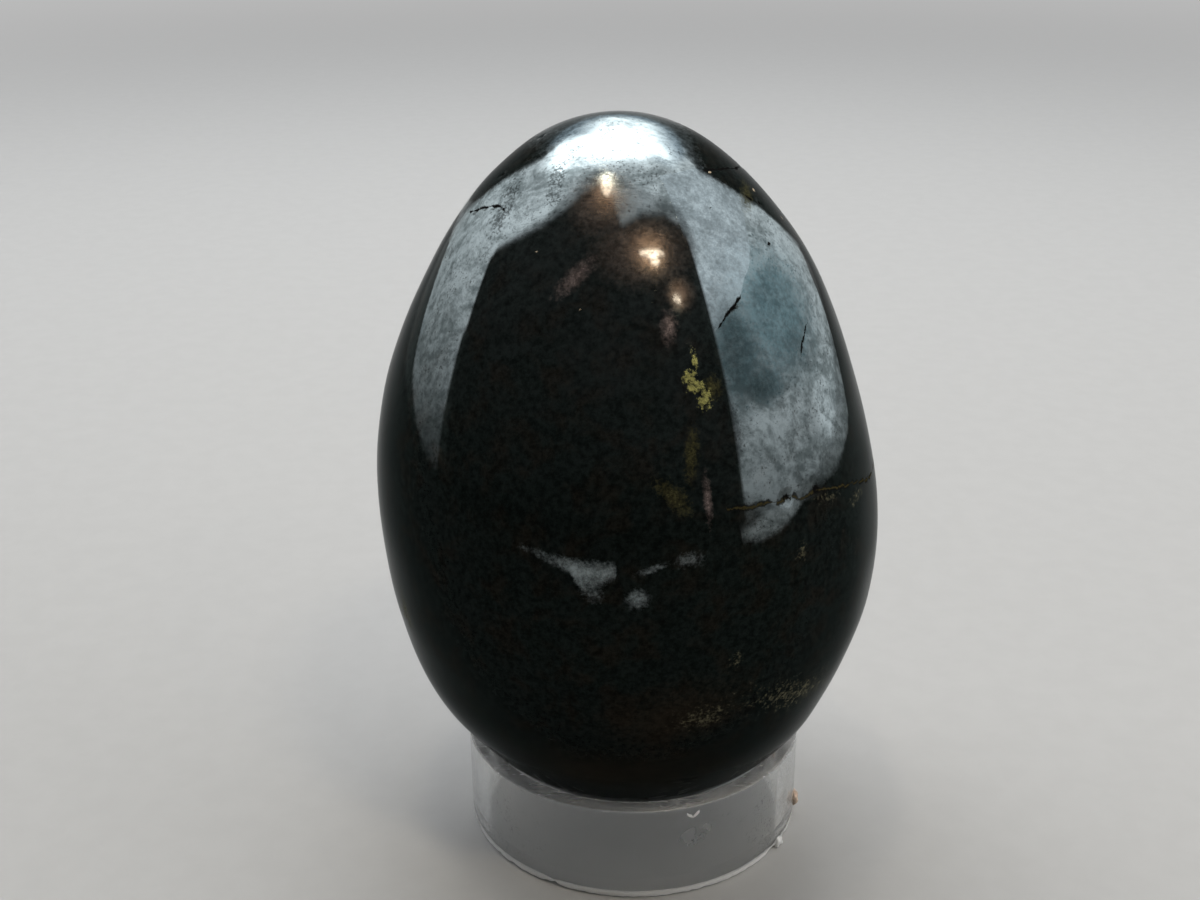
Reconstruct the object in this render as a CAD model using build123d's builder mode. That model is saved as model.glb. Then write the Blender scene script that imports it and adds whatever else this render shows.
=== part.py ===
from build123d import *

import os
from math import acos, cos, pi, radians, sin, sqrt

# A polished stone egg that stands, blunt end down, in a ring cut from clear tube.
# Sizes are millimetres with +Z up. The origin is the middle of the ring's underside.

# Ring stand: a slice of tube with a flat saw cut at each end
RING_OUTER_DIAMETER = 31.75
RING_WALL = 1.5875
RING_HEIGHT = 9.525
RING_EDGE_BREAK = 0.15

# Stone egg: its widest diameter, its height, how much finer the top is than the bottom, and
# the angle in degrees by which it leans in its seat, towards -X
EGG_DIAMETER = 45.0
EGG_HEIGHT = 64.4
EGG_TAPER = 0.12
EGG_LEAN = 2.6

# The egg lies on the inner top edge of the ring, with this much air under it
SEAT_CLEARANCE = 0.1

# How finely the egg's outline is drawn, and how closely the seat is found on it
OUTLINE_STEPS = 16
ANGLE_TOLERANCE = 1e-12

# The outline leaves the axis level at the blunt end and comes back to it level at the tip
LEVEL_ENDS = [(1, 0), (-1, 0)]
UNIT_LENGTHS = [1, 1]


def egg_share(turn):
    """Radius of the plain egg curve at an angle that runs from the blunt end to the tip."""
    return sin(turn) * (1 + EGG_TAPER * cos(turn))


def egg_depth(turn):
    """Height above the blunt end at that angle."""
    return EGG_HEIGHT / 2 * (1 - cos(turn))


# The curve is widest where its slope is zero, which gives a quadratic in the cosine
widest_turn = acos(2 * EGG_TAPER / (1 + sqrt(1 + 8 * EGG_TAPER**2)))
egg_scale = EGG_DIAMETER / 2 / egg_share(widest_turn)


def turn_at_radius(radius):
    """Angle, below the widest place, where the egg has this radius."""
    low, high = 0.0, widest_turn
    while high - low > ANGLE_TOLERANCE:
        middle = (low + high) / 2
        if egg_scale * egg_share(middle) < radius:
            low = middle
        else:
            high = middle
    return high


ring_radius = RING_OUTER_DIAMETER / 2
bore_radius = ring_radius - RING_WALL

# The egg sinks into the bore until it is as wide as the bore at the ring's top
seat_turn = turn_at_radius(bore_radius)
seat_height = RING_HEIGHT + SEAT_CLEARANCE

# It leans about the point where the lines square to its skin at the seat meet, as a ball
# turns in a cup, so that the air under it stays even all round
seat_spread = egg_scale * (cos(seat_turn) + EGG_TAPER * cos(2 * seat_turn))
seat_climb = EGG_HEIGHT / 2 * sin(seat_turn)
lean_height = seat_height + bore_radius * seat_spread / seat_climb
lean = radians(EGG_LEAN)
egg_plane = Plane(origin=(0, 0, lean_height), x_dir=(cos(lean), 0, sin(lean)), z_dir=(0, -1, 0))

# The outline is drawn in that plane, with heights from the point that the egg leans about
egg_base = seat_height - egg_depth(seat_turn) - lean_height

with BuildPart() as ring_stand:
    with BuildSketch(Plane.XY):
        Circle(ring_radius)
        Circle(bore_radius, mode=Mode.SUBTRACT)
    extrude(amount=RING_HEIGHT)
    outer_wall = faces().filter_by(GeomType.CYLINDER).sort_by(SortBy.AREA)[-1]
    chamfer(outer_wall.edges().filter_by(GeomType.CIRCLE), RING_EDGE_BREAK)
ring_stand.part.label = "ring_stand"

turns = [pi * step / OUTLINE_STEPS for step in range(OUTLINE_STEPS)]
egg_tip = (0, egg_base + EGG_HEIGHT)
egg_outline = [(egg_scale * egg_share(turn), egg_base + egg_depth(turn)) for turn in turns]

with BuildPart() as stone_egg:
    with BuildSketch(egg_plane):
        with BuildLine():
            side = Spline(*egg_outline, egg_tip, tangents=LEVEL_ENDS, tangent_scalars=UNIT_LENGTHS)
            Line(side @ 1, side @ 0)
        make_face()
    revolve(axis=Axis(egg_plane.origin, egg_plane.y_dir))
stone_egg.part.label = "stone_egg"

os.makedirs("parts", exist_ok=True)
export_step(ring_stand.part, "parts/ring_stand.step")
export_step(stone_egg.part, "parts/stone_egg.step")
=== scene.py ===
"""Dresses a polished stone egg that stands in a short slice of clear tube.

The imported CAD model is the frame. The egg and the ring are surfaces worked out with numpy
round that frame, in metres, with +Z up and the middle of the ring's underside at the origin.
"""

from collections import namedtuple
from math import pi, radians, tau

import bpy
import numpy as np
from bpy.props import FloatProperty, FloatVectorProperty, IntProperty, PointerProperty
from bpy.types import Operator, Panel, PropertyGroup
from mathutils import Matrix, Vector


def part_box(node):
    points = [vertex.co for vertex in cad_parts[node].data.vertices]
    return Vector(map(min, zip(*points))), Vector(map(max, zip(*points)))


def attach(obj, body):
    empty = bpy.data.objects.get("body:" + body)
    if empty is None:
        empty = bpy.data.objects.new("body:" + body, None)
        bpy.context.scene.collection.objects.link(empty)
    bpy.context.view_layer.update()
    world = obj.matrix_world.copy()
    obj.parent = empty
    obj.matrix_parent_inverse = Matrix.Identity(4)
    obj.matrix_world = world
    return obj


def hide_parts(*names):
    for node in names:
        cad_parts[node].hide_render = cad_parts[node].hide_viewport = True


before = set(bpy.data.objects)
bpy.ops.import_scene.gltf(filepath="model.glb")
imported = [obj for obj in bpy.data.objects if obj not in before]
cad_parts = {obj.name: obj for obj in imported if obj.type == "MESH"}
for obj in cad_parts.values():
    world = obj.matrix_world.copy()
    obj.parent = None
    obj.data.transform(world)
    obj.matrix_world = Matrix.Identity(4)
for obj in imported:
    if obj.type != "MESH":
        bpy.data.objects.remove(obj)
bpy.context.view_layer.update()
EGG_LOW, EGG_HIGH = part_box("stone_egg")
RING_LOW, RING_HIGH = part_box("ring_stand")

bl_info = {
    "name": "Stone egg on a clear ring",
    "version": (1, 0, 0),
    "blender": (4, 5, 0),
    "location": "3D View > Sidebar > Stone egg",
    "description": "Builds a polished stone egg, the clear ring it stands in and a plain stage",
    "category": "Object",
}

MM = 0.001
PER_METRE_TO_MM = (1000.0, 1000.0, 1000.0)

# How a finish lies on the stone: the field that says where, its colour, the field's values where
# it starts and where it is full, how ragged its edge is, its strength and its roughness.
Patch = namedtuple("Patch", "field colour low high ragged strength rough")

# How a crack or vein is drawn: its field, its colour, its half widths in millimetres where it is
# full and where it ends, how far it wanders, and its strength.
Line = namedtuple("Line", "field colour core rim wander strength")

# Finish of the plastic: its name, tint, roughness, roughness in full haze, depth of its scratches and
# how much light goes through.
Plastic = namedtuple("Plastic", "name tint roughness haze_roughness scratch_depth transmission")

# Node outputs that the stone's finishes share, from broad clouds to fine specks.
Grain = namedtuple("Grain", "place cloud crowd fine speck streak frayed scratches")

# Places on the egg are azimuth in degrees, counted anticlockwise from +X seen from above with
# the camera at -90, and height above the table in millimetres on the egg as it stands upright.
LOBE_CRACK = ((-55, 55.7), (-57, 55.3), (-59.2, 55.0), (-61, 54.7), (-63, 54.2))
HAIRLINE = ((-33, 52.1), (-35, 51.6), (-38, 51.0), (-40, 50.2))
SHOULDER_CRACK = ((-38, 64.2), (-27, 63.9), (-10, 63.3), (12, 62.5), (30, 62.9))
BEADED_CRACK = ((-164, 61.1), (-157.5, 61.7), (-151, 62.1), (-147, 62.3), (-141.5, 62.2))
BACK_CRACK = ((70, 47.0), (78, 49.5), (88, 50.2), (97, 52.6), (108, 53.0))
FLANK_CRACK = ((172, 30.5), (180, 33.0), (186, 34.1), (190, 37.0))
CRACKS = (LOBE_CRACK, HAIRLINE, SHOULDER_CRACK, BEADED_CRACK, BACK_CRACK, FLANK_CRACK)

OCHRE_VEIN = (
    (-69, 40.8), (-64, 40.5), (-60, 40.5), (-57, 40.2), (-53, 40.3), (-51, 39.8), (-46, 39.9),
    (-39, 39.2), (-21, 37.1), (0, 36.4), (16, 33.8), (40, 34.6), (58, 32.2),
)
BACK_VEIN = ((118, 43.5), (131, 41.8), (140, 42.4), (155, 39.6), (166, 40.1))
VEINS = (OCHRE_VEIN, BACK_VEIN)

# Edges round the egg, level past their ends: the foot of the sheen, both sides of the dull belt below
# the tip, the top of the dull front, both sides of the pale lobe, and both sides of the wing. The sheen
# is partly the stone's metallic patches and partly painted reflection, with its foot where the side
# boards are mirrored; the dull belt and the dull front, which faces the camera, are painted shade, and
# the wing is painted reflection, partly the stone's grains.
SHEEN_EDGE = (
    (-180, 60.8), (-166, 58.8), (-160, 55.2), (-156, 51.5), (-153, 49.3), (-146, 45.9), (-140, 43.6),
    (-133, 42.4), (-124, 43.0), (-100, 44.5), (-80, 43.8), (-68, 42.0), (-66.8, 38.0), (-62, 37.7),
    (-57.4, 38.1), (-53, 39.0), (-50, 39.7), (-43, 40.3), (-36, 40.7), (-33, 41.6), (-28, 42.7),
    (-25, 44.0), (-22, 48.0), (-19, 52.4), (-17, 54.8), (-12, 57.0), (10, 60.4), (32, 57.6),
    (60, 49.8), (85, 45.2), (112, 43.8), (138, 48.2), (158, 56.6), (180, 60.8),
)
BELT_FOOT = (
    (-180, 61.0), (-168, 61.3), (-164, 62.1), (-157, 63.6), (-147, 64.9), (-140, 65.5), (-136, 66.8),
    (-134, 68.5), (-45, 68.5), (-43, 64.5), (-35, 63.1), (-27, 61.7), (-22, 60.7), (-17, 58.9),
    (-10, 56.5), (14, 57.5), (30, 64.0), (40, 68.5), (150, 68.5), (165, 64.0), (180, 61.0),
)
BELT_TOP = (
    (-180, 67.0), (-158, 67.2), (-146, 66.9), (-136, 66.4), (-130, 66.0), (-50, 64.0), (-43, 64.6),
    (-32, 66.2), (-24, 66.9), (-10, 67.3), (40, 67.3), (180, 67.0),
)
FRONT_TOP = (
    (-136.6, 0.0), (-135.8, 59.0), (-134, 60.2), (-129, 60.9), (-118, 62.2), (-104, 64.3), (-97, 64.9),
    (-91, 63.7), (-88, 62.2), (-80, 62.8), (-71, 62.7), (-66, 61.6), (-65.2, 60.0), (-64.4, 0.0),
)
LOBE_FOOT = (
    (-67, 70.0), (-66, 53.6), (-62.5, 54.4), (-59, 55.0), (-56, 55.4), (-54, 55.9), (-51, 56.8),
    (-47, 57.5), (-43, 58.6), (-38, 60.2), (-33, 61.4), (-28, 63.0), (-24, 70.0),
)
LOBE_TOP = ((-180, 64.5), (180, 64.5))

WING_TOP = ((-117, 38.9), (-111, 38.5), (-107, 38.2), (-100.5, 37.9), (-92, 37.6))
WING_FOOT = (
    (-117, 45.0), (-115.2, 38.6), (-111, 37.9), (-108, 37.4), (-103, 36.5), (-100, 34.2),
    (-97.2, 35.3), (-93, 36.2), (-92, 45.0),
)

# A spot is azimuth, height, half width, half length, and how far its length turns from upright
# towards the viewer's right, in degrees and millimetres.
PALE_LOBES = (
    (28, 54.0, 3.4, 6.0, -20), (122, 57.0, 3.0, 5.0, 30), (196, 48.0, 3.0, 6.5, 12),
)
TEAL_BAYS = (
    (-44, 54.0, 4.6, 5.4, 12), (-60, 52.2, 2.4, 4.4, 8), (-55, 49.4, 2.4, 1.6, 0),
    (70, 56.0, 4.5, 6.0, 0), (168, 52.0, 4.0, 5.0, 30),
)
UMBER_CLOUDS = (
    (-82, 22.5, 3.0, 5.0, 80), (-97, 15.5, 3.2, 8.0, 88),
    (18, 22.0, 4.0, 6.0, 60), (95, 18.0, 4.0, 9.0, 80), (155, 33.0, 4.5, 6.0, 30),
)
BRONZE_CLOUDS = (
    (-95, 63.2, 2.0, 2.2, 0), (-81, 60.0, 2.8, 2.2, 0), (-72.5, 56.9, 0.9, 1.1, 0),
    (100, 44.0, 4.0, 6.0, 20),
)
BRASS_GRAINS = (
    (-74.2, 51.0, 0.7, 0.6, 0), (-72.8, 50.3, 0.8, 0.6, 0), (-71.2, 49.4, 0.6, 1.1, 10),
    (-72.2, 52.2, 0.25, 1.0, 0), (48, 47.0, 1.2, 1.8, 0), (140, 30.0, 1.4, 1.0, 0),
)
OLIVE_STAINS = (
    (-81, 42.5, 0.8, 2.0, -40), (-76, 45.4, 0.6, 2.4, 10), (-69, 50.0, 0.9, 1.1, 0),
    (-24, 61.8, 0.8, 2.4, 65), (205, 27.0, 1.4, 2.4, 0),
    (30, 25.0, 2.0, 1.0, 30),
)
GRIT_BANDS = (
    (-50, 21.2, 2.4, 8.0, 108), (-68.8, 27.4, 0.9, 1.2, 0), (-52, 35.4, 0.7, 1.2, 0),
    (-42, 38.8, 0.6, 2.4, 100), (-76, 22.0, 1.8, 3.0, 90), (-30, 37.0, 0.8, 2.5, 95),
    (62, 30.0, 2.5, 5.0, 40), (150, 22.0, 2.0, 6.0, 70), (-160, 26.0, 1.2, 3.0, 60),
)
GOLD_FLECKS = (
    (-101, 56.2, 0.16, 0.14, 0), (-112, 52.4, 0.14, 0.12, 0), (-118, 59.9, 0.16, 0.14, 0),
    (-36, 64.0, 0.12, 0.6, 70), (-14, 61.7, 0.30, 0.25, 0), (-8, 58.9, 0.12, 0.45, 0),
    (86, 60.0, 0.4, 0.3, 0), (150, 46.0, 0.3, 0.3, 0), (20, 44.0, 0.3, 0.2, 0),
)
# Dim bays are painted shade: they take from the sheen's strength.
DIM_BAYS = ((-61.5, 52.4, 2.6, 5.4, 8), (-57, 49.4, 2.4, 1.8, 0), (62, 54.0, 4.0, 5.0, 0))
# Pinkish streaks, partly the stone's chatoyance and partly a painted reflection.
PLUM_STREAKS = (
    (-103, 58.4, 0.75, 2.2, 42), (-77.5, 54.6, 0.7, 1.4, 5),
    (-73.5, 41.9, 0.35, 2.2, 0), (60, 40.0, 0.5, 2.0, 10),
)
# Arc marks and faint marks are painted reflection, arcs of light low on the front, partly the stone's
# grains.
PAINTED_ARC_MARKS = ((-86.3, 36.8, 0.34, 1.5, 76), (-89.3, 34.4, 1.1, 1.0, 0))
FAINT_MARKS = ((-78.5, 37.3, 1.3, 2.6, 88), (-98, 35.0, 1.6, 1.8, 0))
# A bright bay is a painted reflection: a spot, and the least share of the sheen's strength in its middle.
BRIGHT_BAYS = (((-58.5, 38.9, 1.7, 4.4, 76), 0.5), ((-31, 46.5, 5.5, 8.0, 10), 0.85))
PITS = (
    (-32, 58.4, 0.35, 0.3, 0), (-58, 55.1, 0.30, 0.9, 70), (-50, 61.9, 0.2, 0.2, 0),
    (-84, 54.7, 0.2, 0.2, 0), (-152, 65.4, 0.4, 0.25, 0), (-160, 61.5, 0.28, 0.5, 85),
    (-154, 61.9, 0.25, 0.45, 85), (-148.5, 62.2, 0.3, 0.5, 85), (-142.5, 62.2, 0.22, 0.3, 0),
    (-163, 64.0, 0.3, 0.2, 0), (-173, 66.5, 0.4, 0.3, 0), (-54.9, 40.4, 0.65, 0.45, 30),
    (-45.7, 40.0, 0.75, 0.55, 30),
    (-24, 61.6, 0.6, 0.3, 60), (-19, 60.9, 0.4, 0.3, 30), (40, 58.0, 0.4, 0.3, 0),
    (110, 62.0, 0.4, 0.3, 0), (150, 36.0, 0.5, 0.3, 0), (75, 24.0, 0.4, 0.4, 0),
)
# Painted highlight: the steel is brighter in this spot, where the glare falls on the tip.
PAINTED_GLARE_SPOT = ((-92, 66.8, 4.8, 2.8, 0),)
PEPPERED = (
    (-142, 63.0, 3.4, 1.1, 80), (-120, 64.2, 2.6, 0.9, 80), (-52, 59.6, 1.8, 2.6, 20),
    (-59, 57.4, 1.6, 2.2, 20), (-20, 61.5, 3.2, 1.3, 70), (130, 50.0, 3.0, 3.0, 0),
    (185, 55.0, 2.0, 3.0, 0),
)

# Fields that the stone's finishes read, each from one list of spots.
SPOT_FIELDS = {
    "teal": TEAL_BAYS, "umber": UMBER_CLOUDS, "bronze": BRONZE_CLOUDS, "plum": PLUM_STREAKS,
    "olive": OLIVE_STAINS, "grit": GRIT_BANDS, "brass": BRASS_GRAINS, "gold": GOLD_FLECKS,
    "pit": PITS, "pepper": PEPPERED,
}

# How the sheen grows up the egg, on the viewer's left and on the right: the heights in millimetres
# where it starts and where it is full, and the power that the growth follows; then its least share and
# what the dim bays and the front take from it. Its strength is partly the stone's own sheen and partly
# painted light: low down, in the dim bays and on the front that faces the camera it is painted shade.
LUSTRE_STARTS = (44.5, 31.5)
LUSTRE_FULL = (62.5, 56.0)
LUSTRE_POWER = (1.3, 1.0)
LEAST_LUSTRE = 0.14
DIM_BAY_LOSS = 0.55
FRONT_LOSS = 0.97

# Widths of soft rims in millimetres, the heights between which the wing fades downwards, how much of
# it is left below them, how much softer the belt's upper side is, and how faint the faint marks are.
FRONT_RIM = 0.9
LOBE_RIM = 1.2
WING_RIM = 0.8
WING_FADE = (34.5, 37.0)
WING_LEFT = 0.2
BELT_TOP_SOFTNESS = 0.35
FAINTNESS = 0.5

# Millimetres: how far a crack or vein is felt, the width of its groove, and how far above the ring the
# relief starts and is full, so that the seat stays plain.
LINE_REACH = 1.2
GROOVE_WIDTH = 0.22
RELIEF_ABOVE_SEAT = (1.0, 6.0)

# Smudge on the ring: azimuth in degrees, height in millimetres, half width in degrees and half height
# in millimetres, lean in degrees for each millimetre up, and strength in its middle.
SMUDGE_AZIMUTH = -71.5
SMUDGE_HEIGHT = 6.2
SMUDGE_HALVES = (6.0, 1.3)
SMUDGE_LEAN = 2.5
SMUDGE_STRENGTH = 1.3

# Lower edge of the ring: how far up and in the nicks reach in millimetres, their lift as a share of
# their depth, the number of bites, their widths in degrees, their depths as shares of the chips' depth,
# and the number of saw waves and their share of it.
NICK_REACH = (0.45, 0.9)
NICK_LIFT = 0.5
BITES = 46
BITE_WIDTHS = (0.6, 2.2)
BITE_DEPTHS = (0.2, 1.3)
SAW_WAVES = 97
SAW_WAVE_SHARE = 0.12

# Points that draw one arc and one wall in the ring's section.
ARC_POINTS = 7
WALL_POINTS = 32

# Crumbs: rows and columns of faces, the height and length of the waves on their skin for a ball of
# radius 1, and how far they stay above the table in millimetres.
LUMP_GRID = (24, 32)
LUMP_WAVE = 0.14
LUMP_WAVE_LENGTH = 1.1
ABOVE_TABLE = 0.01

# Small warm lamps: place in metres, size, turn in degrees, and brightness, where 1 is white.
BULBS = (
    ((-0.05, -0.035, 0.51), (0.040, 0.085), 8, 15.0),
    ((0.148, -0.248, 0.51), (0.13, 0.030), 12, 28.0),
    ((0.163, -0.268, 0.50), (0.055, 0.035), 0, 26.0),
    ((0.337, -0.398, 0.51), (0.05, 0.026), 0, 42.0),
)

# Corners of the glowing boards in metres: Y and height on the two walls, X and Y on the roof and the
# dimmer eave in front of it, and X and the way down the slope on the two boards behind the egg.
LEFT_BOARD = (
    (-0.045, 0.0), (-0.03, 0.07), (0.02, 0.155), (0.06, 0.22), (0.10, 0.275), (0.055, 0.37),
    (0.02, 0.45), (-0.01, 0.52), (0.46, 0.52), (0.46, 0.42), (0.52, 0.33), (0.57, 0.225),
    (0.65, 0.165), (0.77, 0.085), (0.77, 0.0),
)
RIGHT_BOARD = (
    (-0.36, 0.0), (-0.355, 0.055), (-0.30, 0.11), (-0.295, 0.15), (-0.325, 0.24), (-0.31, 0.34),
    (-0.30, 0.41), (-0.27, 0.48), (-0.22, 0.52), (0.285, 0.52), (0.305, 0.50), (0.34, 0.38),
    (0.40, 0.275), (0.475, 0.215), (0.575, 0.135), (0.70, 0.03), (0.70, 0.0),
)
ROOF_BOARD = (
    (-0.40, -0.015), (-0.355, -0.025), (-0.215, -0.01), (-0.15, 0.01), (-0.077, 0.04), (-0.04, 0.0),
    (0.03, -0.045), (0.10, -0.055), (0.19, -0.05), (0.27, -0.06), (0.33, -0.11), (0.40, -0.20),
    (0.40, 0.31), (0.34, 0.36), (0.31, 0.45), (-0.40, 0.45),
)
EAVE_BOARD = (
    (-0.057, 0.0), (-0.035, -0.055), (-0.01, -0.12), (0.005, -0.17), (0.04, -0.135), (0.09, -0.11),
    (0.18, -0.085), (0.25, -0.09), (0.31, -0.115), (0.36, -0.17), (0.40, -0.235), (0.40, 0.10),
    (-0.057, 0.10),
)
GLARE_BOARD = (
    (-0.24, 0.01), (-0.225, 0.10), (-0.175, 0.18), (-0.125, 0.17), (-0.06, 0.17), (-0.035, 0.255),
    (-0.01, 0.36), (0.02, 0.31), (0.06, 0.29), (0.09, 0.185), (0.115, 0.11), (0.17, 0.04),
    (0.11, 0.04), (0.08, -0.015), (0.005, -0.037), (-0.07, -0.045), (-0.15, -0.04),
)
HALO_BOARD = (
    (-0.20, 0.20), (-0.19, 0.29), (-0.14, 0.34), (-0.08, 0.40), (-0.02, 0.46), (0.055, 0.44),
    (0.11, 0.365), (0.165, 0.245), (0.215, 0.13), (0.19, 0.01), (0.10, 0.0),
)

# Metres: how far off the walls stand, how high the roof and the eave hang, where the corners on the
# slopes are counted from, and two wide soft rims. Then the eave's share of the roof's brightness, the
# halo's share of the glare's, and the direction down the slopes.
WALL_AWAY = 0.40
ROOF_UP = 0.52
EAVE_UP = 0.53
GLARE_FOOT = (0.0, 0.13, 0.45)
HALO_FOOT = (0.0, 0.14, 0.465)
GLARE_RIM = 0.10
HALO_RIM = 0.05
EAVE_SHARE = 0.5
HALO_SHARE = 0.24
DOWN_THE_SLOPE = (0.0, 0.8544, -0.5196)

# A swell is a spot and how far the skin stands out there, in millimetres, below 0 where it is
# ground flatter than the plain egg.
SWELLS = (
    ((185, 43.0, 24.0, 15.0, 0), 0.48), ((-5, 44.0, 24.0, 15.0, 0), -0.53),
    ((-5, 60.5, 14.0, 9.0, 0), -0.15), ((185, 17.0, 18.0, 8.0, 0), 0.29),
    ((-5, 17.0, 18.0, 8.0, 0), -0.34),
)


def a_length(name, description, default):
    """Property that holds a length in metres."""
    return FloatProperty(name=name, description=description, unit="LENGTH", default=default)


def a_colour(name, description, default):
    """Property that holds a colour."""
    return FloatVectorProperty(
        name=name, description=description, subtype="COLOR", default=default, min=0, max=1
    )


def a_level(name, description, default):
    """Property that holds a brightness."""
    told = f"{description}, where 1 is white"
    return FloatProperty(name=name, description=told, default=default, min=0)


def an_angle(name, description, default):
    """Property that holds an angle in radians."""
    return FloatProperty(name=name, description=description, subtype="ANGLE", default=default)


def a_count(name, description, default):
    """Property that holds a number of faces."""
    return IntProperty(name=name, description=description, default=default, min=16)


class EggShape(PropertyGroup):
    """Sizes of the stone egg."""

    radius: a_length("Radius", "Widest radius of the egg", (EGG_HIGH.y - EGG_LOW.y) / 2)
    height: a_length("Height", "Height of the egg from end to end", EGG_HIGH.z - EGG_LOW.z)
    bottom: a_length("Bottom", "Height of the blunt end above the table", EGG_LOW.z)
    taper: FloatProperty(
        name="Taper", description="How much finer the tip is than the blunt end",
        subtype="FACTOR", default=0.12, min=0.0, max=0.4,
    )
    lean: an_angle("Lean", "How far the egg leans towards -X in its seat", radians(2.6))
    lean_height: a_length(
        "Lean height",
        "Height of the point the egg leans about, where the lines square to its skin at the ring meet",
        24.1 * MM,
    )
    ripple: a_length("Ripple", "Height of the soft waves that hand polishing leaves", 0.020 * MM)
    ripple_length: a_length("Ripple length", "Length of those waves", 8.0 * MM)
    crack_depth: a_length("Crack depth", "Depth of the open cracks", 0.05 * MM)
    pit_depth: a_length("Pit depth", "Depth of the pits and chips", 0.14 * MM)
    rows: a_count("Rows", "Rings of faces from end to end", 238)
    columns: a_count("Columns", "Faces in one ring", 416)


class StoneFinish(PropertyGroup):
    """Colours and polish of the stone."""

    dark: a_colour("Dark stone", "Reflection of the dark ground stone", (0.0078, 0.0106, 0.0098))
    earth: a_colour("Earthy stone", "Reflection of the browner ground stone", (0.0105, 0.0102, 0.0084))
    steel_low: a_colour("Dull steel", "Darkest reflection of the metallic patches", (0.125, 0.153, 0.160))
    steel_high: a_colour("Bright steel", "Palest reflection of the metallic patches", (0.35, 0.41, 0.43))
    lobe: a_colour("Pale lobe", "Reflection of the pale speckled lobes", (0.275, 0.335, 0.365))
    teal: a_colour("Teal bay", "Reflection of the blue green bays", (0.066, 0.120, 0.138))
    umber: a_colour("Umber cloud", "Reflection of the dull brown clouds", (0.021, 0.0165, 0.0115))
    bronze: a_colour("Bronze cloud", "Reflection of the shiny brown clouds", (0.058, 0.039, 0.026))
    brass: a_colour("Brass grain", "Reflection of the brassy grains", (0.26, 0.25, 0.085))
    olive: a_colour("Olive stain", "Reflection of the dim olive stains", (0.046, 0.043, 0.019))
    sand: a_colour("Grit", "Reflection of the sandy grit", (0.13, 0.12, 0.075))
    gold: a_colour("Gold fleck", "Reflection of the pale gold flecks", (0.75, 0.60, 0.42))
    plum: a_colour("Plum streak", "Reflection of the pinkish streaks", (0.195, 0.15, 0.14))
    ochre: a_colour("Ochre vein", "Colour of the earthy veins", (0.050, 0.042, 0.018))
    crack: a_colour("Crack", "Colour deep in cracks and pits", (0.006, 0.006, 0.006))
    polish: FloatProperty(
        name="Roughness", description="Roughness of the polished stone", subtype="FACTOR",
        default=0.09, min=0, max=1,
    )


class RingShape(PropertyGroup):
    """Sizes of the clear ring."""

    radius: a_length("Outer radius", "Outer radius of the tube", (RING_HIGH.x - RING_LOW.x) / 2)
    wall: a_length("Wall", "Thickness of the tube's wall", 1.5875 * MM)
    height: a_length("Height", "Height of the slice of tube", RING_HIGH.z - RING_LOW.z)
    edge: a_length("Edge", "Radius of the broken edges", 0.16 * MM)
    low_edge: a_length("Lower edge", "Radius of the frosted edge that stands on the table", 0.45 * MM)
    chip: a_length("Chips", "Depth of the nicks in the lower sawn edge", 0.16 * MM)
    columns: a_count("Columns", "Faces round the ring", 384)


class RingFinish(PropertyGroup):
    """Look of the clear plastic."""

    clear: a_colour("Clear plastic", "Tint of the clear plastic", (0.965, 0.975, 0.97))
    sawn: a_colour("Sawn edge", "Tint of the frosted saw cuts", (0.94, 0.95, 0.95))
    crumb: a_colour("Crumb", "Colour of the dried crumb on the wall", (0.60, 0.46, 0.36))


class StageSetup(PropertyGroup):
    """Floor, lamps and camera."""

    floor: a_colour("Floor", "Colour of the floor", (0.47, 0.475, 0.475))
    floor_half: a_length("Floor half width", "Half the side of the floor", 4.0)
    wall_level: a_level("Side boards", "Brightness of the side boards", 1.2)
    roof_level: a_level("Roof board", "Brightness of the roof board", 1.25)
    key_level: a_level("Back board", "Brightness of the board behind", 3.6)
    warm: a_colour("Warm light", "Colour of the small lamps", (1.0, 0.86, 0.66))
    cool: a_colour("Cool light", "Colour of the dim board behind the egg", (0.80, 0.90, 1.0))
    world_level: a_level("Room", "Brightness of the room's own light", 0.06)
    backdrop: a_level(
        "Backdrop",
        "Brightness of the far floor and the room as the camera, a mirror or clear plastic shows them",
        0.50,
    )
    fade_start: a_length(
        "Fade start", "Way out from the origin where the floor starts to turn into the backdrop", 0.25
    )
    fade_end: a_length("Fade end", "Way out from the origin where it is all backdrop", 0.70)
    lens: FloatProperty(name="Lens", description="Focal length in millimetres", default=48.05)
    camera_place: FloatVectorProperty(
        name="Camera", description="Place of the camera", subtype="XYZ", unit="LENGTH",
        default=(-3.066 * MM, -133.10 * MM, 94.84 * MM),
    )
    camera_pitch: an_angle("Pitch", "How far the camera looks down", radians(23.309))
    camera_roll: an_angle("Roll", "How far the camera's right side is lifted", radians(-0.342))


def smooth_step(low, high, value):
    """0 below low, 1 above high, and 3 s squared - 2 s cubed of the share s between them."""
    share = np.clip((value - low) / (high - low), 0.0, 1.0)
    return share * share * (3 - 2 * share)


def stacked(*parts):
    """Parts of the same or stretched shapes, side by side on a new last axis."""
    return np.stack(np.broadcast_arrays(*parts), axis=-1)


def round_axis(radius, azimuth, level):
    """Points or normals with these ways out from the upright axis, azimuths and heights."""
    return stacked(radius * np.cos(azimuth), radius * np.sin(azimuth), level)


def pole_angles(rows, columns):
    """Turns from pole to pole down a column, and azimuths once round along a row."""
    turn = np.linspace(0, pi, rows + 1)[:, None]
    return turn, np.linspace(0, tau, columns, endpoint=False)[None, :]


def egg_scale(egg):
    """Factor that gives the curve sin(turn) * (1 + taper * cos(turn)) the egg's widest radius.

    The curve is widest where the cosine is 2 taper / (1 + root(1 + 8 taper squared)).
    """
    widest = np.arccos(2 * egg.taper / (1 + np.sqrt(1 + 8 * egg.taper**2)))
    return egg.radius / (np.sin(widest) * (1 + egg.taper * np.cos(widest)))


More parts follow.
